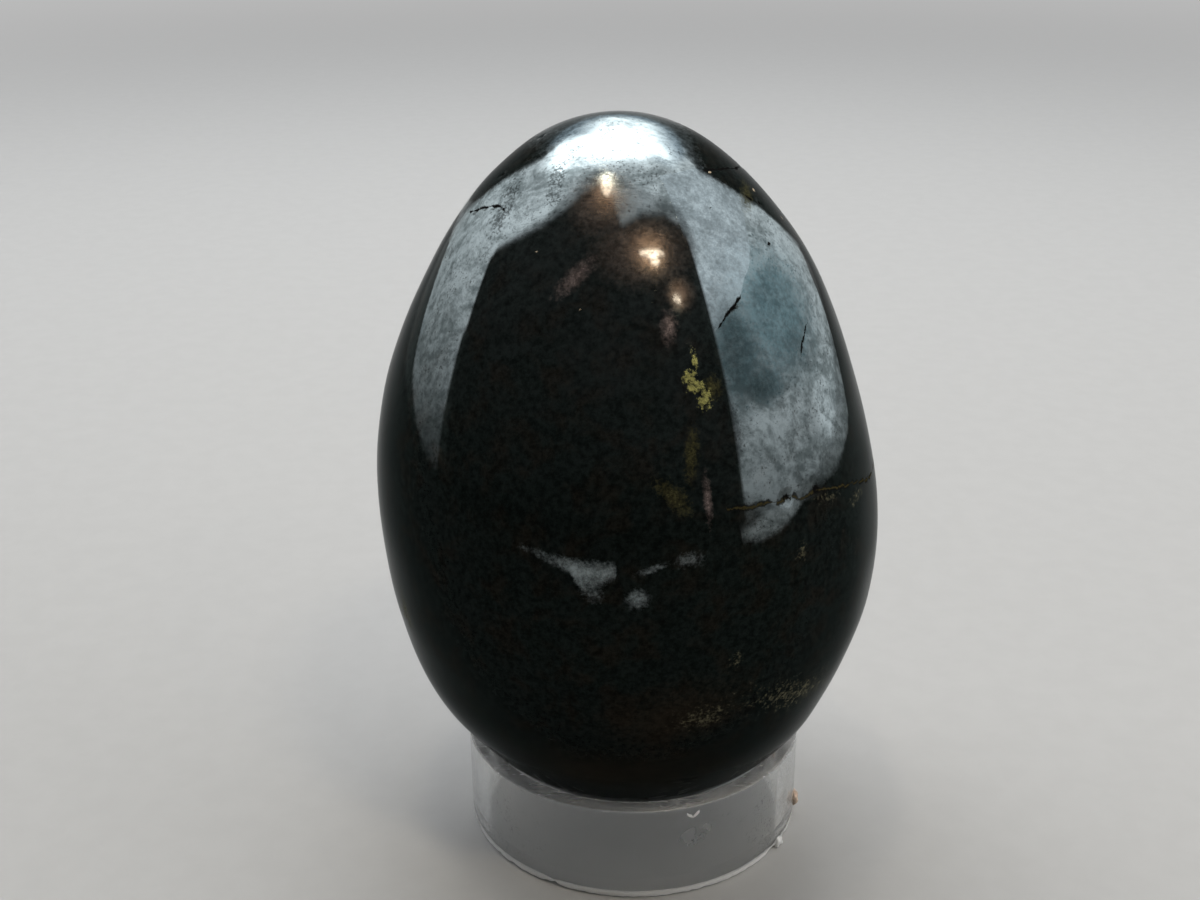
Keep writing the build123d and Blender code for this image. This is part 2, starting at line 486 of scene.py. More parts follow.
def egg_surface(turn, azimuth, egg):
    """Points and outward normals of the plain egg.

    turn runs from the blunt end, 0, to the tip, pi. The radius is
    scale * sin(turn) * (1 + taper * cos(turn)) and the height is
    bottom + half the height * (1 - cos(turn)). The normal is square to both tangents.
    """
    scale = egg_scale(egg)
    half = egg.height / 2
    radius = scale * np.sin(turn) * (1 + egg.taper * np.cos(turn))
    level = egg.bottom + half * (1 - np.cos(turn))
    outward = half * np.sin(turn)
    upward = -scale * (np.cos(turn) + egg.taper * np.cos(2 * turn))
    span = np.hypot(outward, upward)
    normals = round_axis(outward / span, azimuth, upward / span)
    return round_axis(radius, azimuth, level), normals


def edge_height(edge, azimuth):
    """Height in metres of an edge at these azimuths, straight between its places."""
    turn, level = np.array(edge, float).T
    around = (np.degrees(azimuth) + 180.0) % 360.0 - 180.0
    return np.interp(around, turn, level) * MM


def band_gap(level, azimuth, foot, top, top_softness=1.0):
    """Gap in metres to the nearer of two edges, above 0 between them, scaled at the top."""
    below = level - edge_height(foot, azimuth)
    return np.minimum(below, top_softness * (edge_height(top, azimuth) - level))


def egg_places(places, egg):
    """Points and normals of the plain egg at pairs of azimuth and height."""
    azimuth, level = np.array(places, float).T
    turn = np.arccos(1 - 2 * (level * MM - egg.bottom) / egg.height)
    return egg_surface(turn, np.radians(azimuth), egg)


def line_field(points, normals, lines, egg):
    """Signed gap to the nearest line and a mask, for points on the egg.

    The gap is the distance to the nearest stretch, below 0 on its right side. The mask falls
    from 1 on the line to 0 at the reach, and to 0 a third of the reach past the ends.
    """
    reach = LINE_REACH * MM
    nearest = np.full(points.shape[:-1], np.inf)
    gap = np.zeros_like(nearest)
    past_end = np.zeros_like(nearest)
    for line in lines:
        places = egg_places(line, egg)[0]
        for start, end in zip(places[:-1], places[1:]):
            along = end - start
            share = (points - start) @ along / (along @ along)
            held = np.clip(share, 0.0, 1.0)
            away = points - start - held[..., None] * along
            distance = np.linalg.norm(away, axis=-1)
            side = np.sum(away * np.cross(normals, along), axis=-1)
            closer = distance < nearest
            gap = np.where(closer, np.copysign(distance, side), gap)
            past = np.abs(share - held) * np.linalg.norm(along)
            past_end = np.where(closer, past, past_end)
            nearest = np.where(closer, distance, nearest)
    mask = np.clip(1 - nearest / reach, 0.0, 1.0) * np.clip(1 - past_end / reach * 3, 0.0, 1.0)
    return gap, mask


def spot_field(points, spots, egg):
    """Highest value of the spots, which is 1 in a spot's middle and 0 on its oval edge.

    A spot's value is 1 - the root of the summed squares of the offsets across, along and off
    the surface, each over its own half size.
    """
    value = np.full(points.shape[:-1], -np.inf)
    for azimuth, level, half_width, half_length, tilt in spots:
        (middle,), (outward,) = egg_places([(azimuth, level)], egg)
        east = np.array([-np.sin(radians(azimuth)), np.cos(radians(azimuth)), 0.0])
        north = np.cross(outward, east)
        lengthwise = np.cos(radians(tilt)) * north + np.sin(radians(tilt)) * east
        crosswise = np.cross(lengthwise, outward)
        away = (points - middle) / MM
        squares = (
            (away @ crosswise / half_width) ** 2
            + (away @ lengthwise / half_length) ** 2
            + (away @ outward / max(half_width, half_length)) ** 2
        )
        value = np.maximum(value, 1 - np.sqrt(squares))
    return np.maximum(value, -1.0)


def swell_height(points, egg):
    """Sum of the swells, each its rise times the square of 1 - the squared share of the way out."""
    total = np.zeros(points.shape[:-1])
    for spot, rise in SWELLS:
        way_out = 1 - spot_field(points, [spot], egg)
        total += rise * MM * np.clip(1 - way_out**2, 0.0, None) ** 2
    return total


def ripples(points, length, seed):
    """Sum of plane waves of about that length in seeded directions, with a mean square of 1."""
    waves = 14
    draw = np.random.default_rng(seed)
    heading = draw.normal(size=(waves, 3))
    heading /= np.linalg.norm(heading, axis=1, keepdims=True)
    lengths = length * draw.uniform(0.7, 1.6, size=waves)
    phase = draw.uniform(0, tau, size=waves)
    angle = points @ (tau * heading / lengths[:, None]).T + phase
    return np.cos(angle).sum(axis=-1) * np.sqrt(2 / waves)


def lean_points(points, egg):
    """Turns points about the line along Y through the lean height, so that the tip goes to -X."""
    cosine, sine = np.cos(egg.lean), np.sin(egg.lean)
    across, level = points[..., 0], points[..., 2] - egg.lean_height
    leaned = across * sine + level * cosine + egg.lean_height
    return stacked(across * cosine - level * sine, points[..., 1], leaned)


def wrapped_faces(rows, columns):
    """Quads of a grid whose columns close round, as rows * columns point numbers."""
    row = np.arange(rows - 1)[:, None] * columns
    here = np.arange(columns)[None, :]
    beside = (here + 1) % columns
    quads = np.stack(
        [row + here, row + beside, row + columns + beside, row + columns + here], axis=-1
    )
    return quads.reshape(-1, 4)


def link_mesh(name, points, faces):
    """New smooth mesh object with these points and faces, linked to the scene."""
    mesh = bpy.data.meshes.new(name)
    mesh.from_pydata(points.tolist(), [], faces)
    mesh.polygons.foreach_set("use_smooth", np.ones(len(mesh.polygons), bool))
    mesh.update()
    made = bpy.data.objects.new(name, mesh)
    bpy.context.scene.collection.objects.link(made)
    return made


def pole_shell(name, grid):
    """Closed shell from a grid whose first and last rows are single points, the poles."""
    rows, columns = grid.shape[:2]
    points = np.concatenate([grid[:1, 0], grid[1:-1].reshape(-1, 3), grid[-1:, 0]])
    here = np.arange(columns)
    beside = (here + 1) % columns
    last_row = 1 + (rows - 3) * columns
    low_fan = np.stack([np.zeros_like(here), 1 + beside, 1 + here], axis=-1)
    top = np.full_like(here, len(points) - 1)
    high_fan = np.stack([last_row + here, last_row + beside, top], axis=-1)
    quads = wrapped_faces(rows - 2, columns) + 1
    return link_mesh(name, points, low_fan.tolist() + quads.tolist() + high_fan.tolist())


def pole_values(values):
    """Values of a pole shell's grid in the order of its points."""
    return np.concatenate([values[:1, 0], values[1:-1].ravel(), values[-1:, 0]])


def loop_shell(name, grid):
    """Closed shell from a grid that closes both along its rows and along its columns."""
    rows, columns = grid.shape[:2]
    closing = (wrapped_faces(rows + 1, columns) % (rows * columns)).tolist()
    return link_mesh(name, grid.reshape(-1, 3), closing)


def store(piece, name, values):
    """Keeps a value for each point of a piece, which its material reads."""
    kept = piece.data.attributes.new(name, "FLOAT", "POINT")
    kept.data.foreach_set("value", np.ascontiguousarray(values, np.float32).ravel())


def put(tree, kind, inputs=None, **settings):
    """Adds a node, sets it, and joins or fills its inputs, which are named or numbered."""
    made = tree.nodes.new(kind)
    for name, value in settings.items():
        setattr(made, name, value)
    for name, value in (inputs or {}).items():
        if isinstance(value, bpy.types.NodeSocket):
            tree.links.new(value, made.inputs[name])
        else:
            made.inputs[name].default_value = value
    return made


def math(tree, operation, first, second=0.0, clamp=False):
    """Output of a Math node."""
    return put(
        tree, "ShaderNodeMath", {0: first, 1: second}, operation=operation, use_clamp=clamp
    ).outputs[0]


def blend(tree, share, first, second):
    """Output of a Mix node that goes from the first number to the second."""
    return put(tree, "ShaderNodeMix", {0: share, 2: first, 3: second}, data_type="FLOAT").outputs[0]


def tint(tree, share, first, second, mode="MIX"):
    """Output of a Mix node that goes from the first colour to the second."""
    return put(
        tree, "ShaderNodeMix", {0: share, 6: first, 7: second}, data_type="RGBA", blend_type=mode
    ).outputs[2]


def shade(tree, colour, factor):
    """Output with a colour times a factor."""
    return tint(tree, 1.0, colour, factor, "MULTIPLY")


def bump(tree, height, strength, distance):
    """Normal that a height bends."""
    inputs = {"Height": height, "Strength": strength, "Distance": distance}
    return put(tree, "ShaderNodeBump", inputs).outputs["Normal"]


def ease(tree, value, low, high, start=0.0, end=1.0):
    """Output that goes smoothly from start at low to end at high."""
    inputs = {"Value": value, "From Min": low, "From Max": high, "To Min": start, "To Max": end}
    return put(
        tree, "ShaderNodeMapRange", inputs, interpolation_type="SMOOTHSTEP"
    ).outputs["Result"]


def weigh(tree, *parts):
    """Sum of outputs or numbers, each times its weight."""
    total = 0.0
    for value, weight in parts:
        total = put(
            tree, "ShaderNodeMath", {0: value, 1: weight, 2: total}, operation="MULTIPLY_ADD"
        ).outputs[0]
    return total


def kept_value(tree, name):
    """Output with a value that the piece keeps for each point."""
    return put(tree, "ShaderNodeAttribute", attribute_name=name).outputs["Fac"]


def noise(tree, vector, scale, detail=4.0, roughness=0.55, output=0):
    """Output of a Noise node with this many blotches to a millimetre."""
    inputs = {"Vector": vector, "Scale": scale, "Detail": detail, "Roughness": roughness}
    return put(tree, "ShaderNodeTexNoise", inputs).outputs[output]


def millimetres(tree):
    """Object coordinates in millimetres."""
    place = put(tree, "ShaderNodeTexCoord").outputs["Object"]
    return put(
        tree, "ShaderNodeMapping", {"Vector": place, "Scale": PER_METRE_TO_MM}
    ).outputs["Vector"]


def opaque(colour):
    """Colour with an alpha of 1."""
    return (*colour, 1.0)


def new_material(name):
    """Empty node material and its tree."""
    made = bpy.data.materials.new(name)
    made.use_nodes = True
    made.node_tree.nodes.clear()
    return made, made.node_tree


def close_material(tree, inputs):
    """Principled shader with these inputs, joined to the material's output."""
    shader = put(tree, "ShaderNodeBsdfPrincipled", inputs).outputs["BSDF"]
    put(tree, "ShaderNodeOutputMaterial", {"Surface": shader})


def scratch_group():
    """Node group of fine scratches in two headings, for the stone and the clear plastic.

    Stretched noise makes the scratches. A coarser noise breaks them off.
    """
    name = "fine scratches"
    if name in bpy.data.node_groups:
        return bpy.data.node_groups[name]
    tree = bpy.data.node_groups.new(name, "ShaderNodeTree")
    tree.interface.new_socket("Vector", in_out="INPUT", socket_type="NodeSocketVector")
    density = tree.interface.new_socket("Density", in_out="INPUT", socket_type="NodeSocketFloat")
    density.default_value = 1.0
    tree.interface.new_socket("Height", in_out="OUTPUT", socket_type="NodeSocketFloat")
    tree.interface.new_socket("Mask", in_out="OUTPUT", socket_type="NodeSocketFloat")
    given = put(tree, "NodeGroupInput")
    marks = []
    for turn, stretch in (((0.4, 0.9, 0.3), (0.14, 5.0, 5.0)), ((1.1, -0.6, 1.9), (0.1, 6.5, 6.5))):
        drawn = put(
            tree, "ShaderNodeMapping",
            {"Vector": given.outputs["Vector"], "Rotation": turn, "Scale": stretch},
        ).outputs["Vector"]
        line = noise(tree, drawn, given.outputs["Density"], detail=2.0)
        marks.append(ease(tree, line, 0.60, 0.72))
    both = math(tree, "MAXIMUM", *marks)
    broken = ease(tree, noise(tree, given.outputs["Vector"], 0.5, detail=2.0), 0.42, 0.6)
    mask = math(tree, "MULTIPLY", both, broken)
    height = math(tree, "MULTIPLY", mask, -1.0)
    put(tree, "NodeGroupOutput", {"Height": height, "Mask": mask})
    return tree


def scratch_marks(tree, place, density):
    """Outputs of the group of fine scratches."""
    inputs = {"Vector": place, "Density": density}
    return put(tree, "ShaderNodeGroup", inputs, node_tree=scratch_group()).outputs


def stone_grain(tree):
    """Noises of the stone on Object coordinates, some of them swayed, and its scratches."""
    place = millimetres(tree)
    drift = noise(tree, place, 0.16, detail=2.0, output="Color")
    sway = put(
        tree, "ShaderNodeVectorMath", {0: drift, 1: (5.0, 5.0, 5.0), 2: place},
        operation="MULTIPLY_ADD",
    ).outputs[0]
    drawn = put(
        tree, "ShaderNodeMapping",
        {"Vector": sway, "Rotation": (0.3, 0.75, 0.2), "Scale": (0.25, 1.9, 1.9)},
    ).outputs["Vector"]
    fine = noise(tree, place, 1.9, detail=5.0, roughness=0.72)
    speck = noise(tree, place, 4.2, detail=3.0, roughness=0.6)
    return Grain(
        place=place,
        cloud=noise(tree, sway, 0.22, detail=6.0, roughness=0.62),
        crowd=noise(tree, sway, 0.42, detail=3.0),
        fine=fine,
        speck=speck,
        streak=noise(tree, drawn, 0.55, detail=4.0, roughness=0.6),
        frayed=weigh(tree, (fine, 0.65), (speck, 0.5), (1.0, -0.575)),
        scratches=scratch_marks(tree, place, 1.0),
    )


def steel_tone(tree, grain, finish):
    """Colour of the metallic sheen, mottled, peppered with dark specks and finely scratched, and brighter
    under the glare on the tip as a painted highlight.
    """
    buffed = kept_value(tree, "buffed")
    mottle = weigh(tree, (grain.cloud, 0.7), (grain.fine, 0.6), (grain.streak, 0.7), (buffed, 0.2))
    level = ease(tree, mottle, 0.81, 1.19)
    steel = tint(tree, level, opaque(finish.steel_low), opaque(finish.steel_high))
    crowded = ease(tree, kept_value(tree, "pepper"), -0.3, 0.6, 0.0, 0.17)
    dense = weigh(tree, (grain.speck, 1.0), (grain.crowd, 0.45), (crowded, 1.0))
    steel = shade(tree, steel, ease(tree, dense, 0.82, 0.93, 1.0, 0.35))
    rubbed = ease(tree, grain.scratches["Mask"], 0.0, 1.0, 1.0, 0.8)
    return shade(tree, steel, rubbed)


def lay_patches(tree, grain, patches, tone, rough):
    """Lays finishes over a tone and a roughness, and gives both and each finish's mask."""
    varied = weigh(tree, (grain.fine, 0.45), (grain.speck, 0.25), (grain.cloud, 0.5))
    varied = ease(tree, varied, 0.48, 0.74, 0.6, 1.3)
    masks = {}
    for patch in patches:
        field = weigh(tree, (kept_value(tree, patch.field), 1.0), (grain.frayed, patch.ragged))
        mask = ease(tree, field, patch.low, patch.high, 0.0, patch.strength)
        tone = tint(tree, mask, tone, shade(tree, opaque(patch.colour), varied))
        rough = blend(tree, mask, rough, patch.rough)
        masks[patch.field] = mask
    return tone, rough, masks


def draw_lines(tree, grain, lines, tone, rough, metal):
    """Draws cracks and veins that swell and thin out, and gives tone, roughness and metal."""
    beads = noise(tree, grain.place, 1.1, detail=2.0)
    width = ease(tree, beads, 0.36, 0.62, 0.2, 1.6)
    for line in lines:
        gap = weigh(tree, (kept_value(tree, line.field + "_gap"), 1.0 / MM), (grain.frayed, line.wander))
        gap = math(tree, "DIVIDE", math(tree, "ABSOLUTE", gap), width)
        near = ease(tree, kept_value(tree, line.field + "_mask"), 0.0, 0.5)
        mask = math(tree, "MULTIPLY", ease(tree, gap, line.core, line.rim, line.strength, 0.0), near)
        tone = tint(tree, mask, tone, opaque(line.colour))
        rough = blend(tree, mask, rough, 0.6)
        metal = blend(tree, mask, metal, 0.0)
    return tone, rough, metal


def stone_material(finish):
    """Dark polished stone with metallic sheen, stains, brassy grains, veins, cracks and pits.

    Metallic reflection carries the colours, because the polished stone has next to none of its
    own under the shine. Fields kept on the egg say where a finish lies, and noise frays them.
    """
    made, tree = new_material("polished stone")
    grain = stone_grain(tree)
    rough = weigh(tree, (grain.cloud, 0.05), (grain.fine, 0.03), (1.0, finish.polish - 0.04))
    sheens = (
        Patch("teal", finish.teal, -0.5, 0.6, 1.0, 0.85, 0.07),
        Patch("lobe", finish.lobe, -0.02, 0.05, 0.25, 0.6, 0.09),
    )
    stains = (
        Patch("umber", finish.umber, -0.6, 1.0, 2.0, 0.8, 0.22),
        Patch("bronze", finish.bronze, -0.8, 0.8, 1.0, 0.95, 0.27),
        # Plum streaks: partly the stone's chatoyance and partly a painted reflection.
        Patch("plum", finish.plum, -0.3, 1.0, 2.0, 0.6, 0.42),
        # Painted reflection of arcs of light low on the front, partly the stone's grains.
        Patch("worn", finish.steel_high, -0.1, 1.2, 1.5, 0.6, 0.12),
        Patch("olive", finish.olive, -0.2, 0.9, 3.0, 0.9, 0.30),
        Patch("grit", finish.sand, 0.4, 1.5, 5.0, 0.7, 0.30),
        Patch("brass", finish.brass, 0.0, 0.7, 3.6, 0.95, 0.28),
        Patch("gold", finish.gold, 0.0, 0.6, 1.0, 0.9, 0.25),
    )
    lines = (
        Line("ochre", finish.crack, 0.08, 0.24, 0.9, 0.85),
        Line("ochre", finish.ochre, 0.02, 0.09, 0.9, 0.9),
        Line("crack", finish.crack, 0.04, 0.13, 0.28, 1.0),
    )

    steel = steel_tone(tree, grain, finish)
    steel, rough, sheen_masks = lay_patches(tree, grain, sheens, steel, rough)
    ground = tint(tree, ease(tree, grain.crowd, 0.44, 0.70), opaque(finish.dark), opaque(finish.earth))
    ground = shade(tree, ground, ease(tree, grain.fine, 0.3, 0.7, 0.45, 1.55))
    # Where the sheen shows and how strongly is partly the stone's metallic patches and partly painted
    # reflection and painted shade.
    edge = weigh(tree, (kept_value(tree, "sheen_gap"), 1.0 / MM), (grain.frayed, 1.2))
    shine = math(tree, "MULTIPLY", ease(tree, edge, -0.5, 0.5), kept_value(tree, "lustre"))
    tone = tint(tree, shine, ground, steel)
    tone, rough, masks = lay_patches(tree, grain, stains, tone, rough)
    metal = math(tree, "MAXIMUM", ease(tree, shine, 0.0, 0.25, 0.5, 1.0), masks["bronze"])
    gleam = math(tree, "MULTIPLY", masks["bronze"], ease(tree, grain.fine, 0.35, 0.62, 0.5, 1.0))
    tone, rough, metal = draw_lines(tree, grain, lines, tone, rough, metal)

    pit = weigh(tree, (kept_value(tree, "pit"), 1.0), (grain.frayed, 2.0))
    pit = ease(tree, pit, 0.15, 0.55)
    tone = tint(tree, pit, tone, opaque(finish.crack))
    rough = blend(tree, pit, rough, 0.65)
    metal = blend(tree, pit, metal, 0.0)

    rubbed = math(tree, "MULTIPLY", grain.scratches["Mask"], 0.04)
    rough = math(tree, "ADD", rough, rubbed, clamp=True)
    facet = put(tree, "ShaderNodeTexVoronoi", {"Vector": grain.place, "Scale": 1.6}).outputs["Distance"]
    sparkle = math(tree, "MULTIPLY", math(tree, "ADD", masks["gold"], masks["brass"]), facet)
    height = weigh(
        tree, (grain.scratches["Height"], 0.02), (grain.fine, 0.02), (sparkle, 0.7),
        (sheen_masks["lobe"], 0.06),
    )
    normal = bump(tree, height, 0.6, 0.2 * MM)
    close_material(
        tree,
        {
            "Base Color": tone, "Roughness": rough, "Metallic": metal, "Normal": normal,
            "Coat Weight": gleam, "Coat Roughness": 0.08, "Specular IOR Level": 0.0,
            "Specular Tint": (0.58, 0.60, 0.60, 1.0),
        },
    )
    return made


def clear_material(plastic):
    """Clear plastic whose roughness rises with the haze kept on the ring, finely scratched."""
    made, tree = new_material(plastic.name)
    place = millimetres(tree)
    cloud = noise(tree, place, 0.7, detail=4.0)
    haze = math(tree, "MULTIPLY", kept_value(tree, "haze"), ease(tree, cloud, 0.35, 0.6))
    scratches = scratch_marks(tree, place, 0.8)
    rough = blend(tree, haze, plastic.roughness, plastic.haze_roughness)
    rough = math(tree, "ADD", rough, math(tree, "MULTIPLY", scratches["Mask"], 0.10), clamp=True)
    fine = noise(tree, place, 3.0, detail=3.0)
    height = math(tree, "ADD", scratches["Height"], math(tree, "MULTIPLY", fine, haze))
    normal = bump(tree, height, 0.4, plastic.scratch_depth)
    close_material(
        tree,
        {
            "Base Color": opaque(plastic.tint), "Roughness": rough, "Normal": normal, "IOR": 1.49,
            "Transmission Weight": plastic.transmission,
        },
    )
    return made


def crumb_material(finish):
    """Dull dried crumb, mottled from dark to light."""
    made, tree = new_material("dried crumb")
    place = millimetres(tree)
    cloud = noise(tree, place, 2.5, detail=5.0, roughness=0.65)
    colour = shade(tree, opaque(finish.crumb), ease(tree, cloud, 0.3, 0.7, 0.5, 1.5))
    normal = bump(tree, cloud, 0.7, 0.2 * MM)
    close_material(tree, {"Base Color": colour, "Roughness": 0.6, "Normal": normal})
    return made


def seen_rays(tree):
    """1 for a ray from the camera, or one that a mirror or clear plastic sends on, else 0."""
    rays = put(tree, "ShaderNodeLightPath").outputs
    sent_on = math(tree, "MAXIMUM", rays["Is Glossy Ray"], rays["Is Transmission Ray"])
    return math(tree, "MAXIMUM", rays["Is Camera Ray"], sent_on)


def floor_material(stage):
    """Plain pale matt floor with a faint cloud in its tone, which turns into the backdrop far out."""
    made, tree = new_material("pale floor")
    place = millimetres(tree)
    cloud = noise(tree, place, 0.3, detail=4.0)
    colour = shade(tree, opaque(stage.floor), ease(tree, cloud, 0.3, 0.7, 0.985, 1.015))
    matt = put(
        tree, "ShaderNodeBsdfPrincipled",
        {"Base Color": colour, "Roughness": 0.7, "Specular IOR Level": 0.2},
    ).outputs[0]
    glow = put(tree, "ShaderNodeEmission", {"Strength": stage.backdrop}).outputs[0]
    away = put(tree, "ShaderNodeVectorMath", {0: place}, operation="LENGTH").outputs["Value"]
    far = ease(tree, away, stage.fade_start / MM, stage.fade_end / MM)
    share = math(tree, "MULTIPLY", far, seen_rays(tree))
    both = put(tree, "ShaderNodeMixShader", {0: share, 1: matt, 2: glow}).outputs[0]
    put(tree, "ShaderNodeOutputMaterial", {"Surface": both})
    return made


def glow_material(name, level, behind_level, colour):
    """Light from a board, where a level of 1 is white, that thins out to clear towards its rim.

    The glow kept on the board is squared. The front hides what lies behind it. The back has a
    level of its own and hides nothing, so the floor is lit evenly on both sides of a board.
    """
    made, tree = new_material(name)
    glow = kept_value(tree, "glow")
    share = math(tree, "MULTIPLY", glow, glow)
    clear = put(tree, "ShaderNodeBsdfTransparent").outputs[0]
    light = put(tree, "ShaderNodeEmission", {"Color": opaque(colour), "Strength": level}).outputs[0]
    back_strength = math(tree, "MULTIPLY", share, behind_level)
    back_light = put(
        tree, "ShaderNodeEmission", {"Color": opaque(colour), "Strength": back_strength}
    ).outputs[0]
    front = put(tree, "ShaderNodeMixShader", {0: share, 1: clear, 2: light}).outputs[0]
    back = put(tree, "ShaderNodeAddShader", {0: clear, 1: back_light}).outputs[0]
    behind = put(tree, "ShaderNodeNewGeometry").outputs["Backfacing"]
    both = put(tree, "ShaderNodeMixShader", {0: behind, 1: front, 2: back}).outputs[0]
    put(tree, "ShaderNodeOutputMaterial", {"Surface": both})
    return made


class EGGSTAND_OT_polished_egg(Operator):
    """Build the polished stone egg, leaning a little in its seat"""

    bl_idname = "eggstand.polished_egg"
    bl_label = "Polished egg"

    def execute(self, context):
        egg = context.scene.egg_shape
        turn, azimuth = pole_angles(egg.rows, egg.columns)
        points, normals = egg_surface(turn, azimuth, egg)
        level = points[..., 2]

        fields = {name: spot_field(points, spots, egg) for name, spots in SPOT_FIELDS.items()}
        fields["crack_gap"], fields["crack_mask"] = line_field(points, normals, CRACKS, egg)
        fields["ochre_gap"], fields["ochre_mask"] = line_field(points, normals, VEINS, egg)
        # Painted light: the sheen's foot lies where the side boards are mirrored, and the dull belt below
        # the tip is painted shade.
        belt_gap = band_gap(level, azimuth, BELT_FOOT, BELT_TOP, BELT_TOP_SOFTNESS)
        fields["sheen_gap"] = np.minimum(level - edge_height(SHEEN_EDGE, azimuth), -belt_gap)
        fields["lustre"] = self.lustre(points, azimuth, egg)
        # Painted reflection: arcs of light low on the front, partly the stone's grains.
        fields["worn"] = self.worn(points, azimuth, egg)
        lobe_gap = band_gap(level, azimuth, LOBE_FOOT, LOBE_TOP)
        lobe = np.clip(lobe_gap / (LOBE_RIM * MM), -1, 1)
        fields["lobe"] = np.maximum(spot_field(points, PALE_LOBES, egg), lobe)
        # Painted highlight: brighter steel where the glare falls on the tip.
        fields["buffed"] = smooth_step(-0.3, 0.5, spot_field(points, PAINTED_GLARE_SPOT, egg))

        groove = np.exp(-((fields["crack_gap"] / (GROOVE_WIDTH * MM)) ** 2))
        groove = groove * (fields["crack_mask"] > 0)
        plain, full = (RING_HIGH.z + above * MM for above in RELIEF_ABOVE_SEAT)
        raised = egg.ripple * ripples(points, egg.ripple_length, seed=5)
        raised += swell_height(points, egg)
        raised -= egg.crack_depth * groove + egg.pit_depth * smooth_step(0.0, 0.7, fields["pit"])
        raised *= smooth_step(plain, full, level)
        points = lean_points(points + raised[..., None] * normals, egg)

        piece = pole_shell("polished_egg", points)
        for name, values in fields.items():
            store(piece, name, pole_values(values))
        piece.data.materials.append(stone_material(context.scene.stone_finish))
        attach(piece, "egg")
        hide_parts("stone_egg")
        return {"FINISHED"}

    def lustre(self, points, azimuth, egg):
        """How strongly the sheen shows.

        It grows with height, to a power, later on the left than on the right. The dim bays and the
        dull front take from it, and a bright bay lifts it to a share of its own. It is partly the stone's
        own sheen and partly painted light: the growth with height, the dim bays and the dull front are
        painted shade, and the bright bays are painted reflection.
        """
        level = points[..., 2]
        right_side = (1 + np.cos(azimuth)) / 2
        starts, full, power = (
            left + (right - left) * right_side
            for left, right in (LUSTRE_STARTS, LUSTRE_FULL, LUSTRE_POWER)
        )
        shown = np.clip((level / MM - starts) / (full - starts), LEAST_LUSTRE, 1.0) ** power
        shown = shown * (1 - DIM_BAY_LOSS * smooth_step(-0.3, 0.9, spot_field(points, DIM_BAYS, egg)))
        front = smooth_step(0.0, FRONT_RIM * MM, edge_height(FRONT_TOP, azimuth) - level)
        shown = shown * (1 - FRONT_LOSS * front)
        for bay, share in BRIGHT_BAYS:
            shown = np.maximum(shown, share * smooth_step(0.0, 0.6, spot_field(points, (bay,), egg)))
        return shown

    def worn(self, points, azimuth, egg):
        """Highest of the arc marks, the faint marks, and the wing, which fades downwards: painted
        reflection, partly the stone's grains.
        """
        level = points[..., 2]
        wing = np.clip(band_gap(level, azimuth, WING_FOOT, WING_TOP) / (WING_RIM * MM), -1, 1)
        low, high = WING_FADE
        left = WING_LEFT + (1 - WING_LEFT) * smooth_step(low * MM, high * MM, level)
        faint = spot_field(points, FAINT_MARKS, egg) - FAINTNESS
        marks = np.maximum(spot_field(points, PAINTED_ARC_MARKS, egg), faint)
        return np.maximum(marks, np.minimum(wing, wing * left))


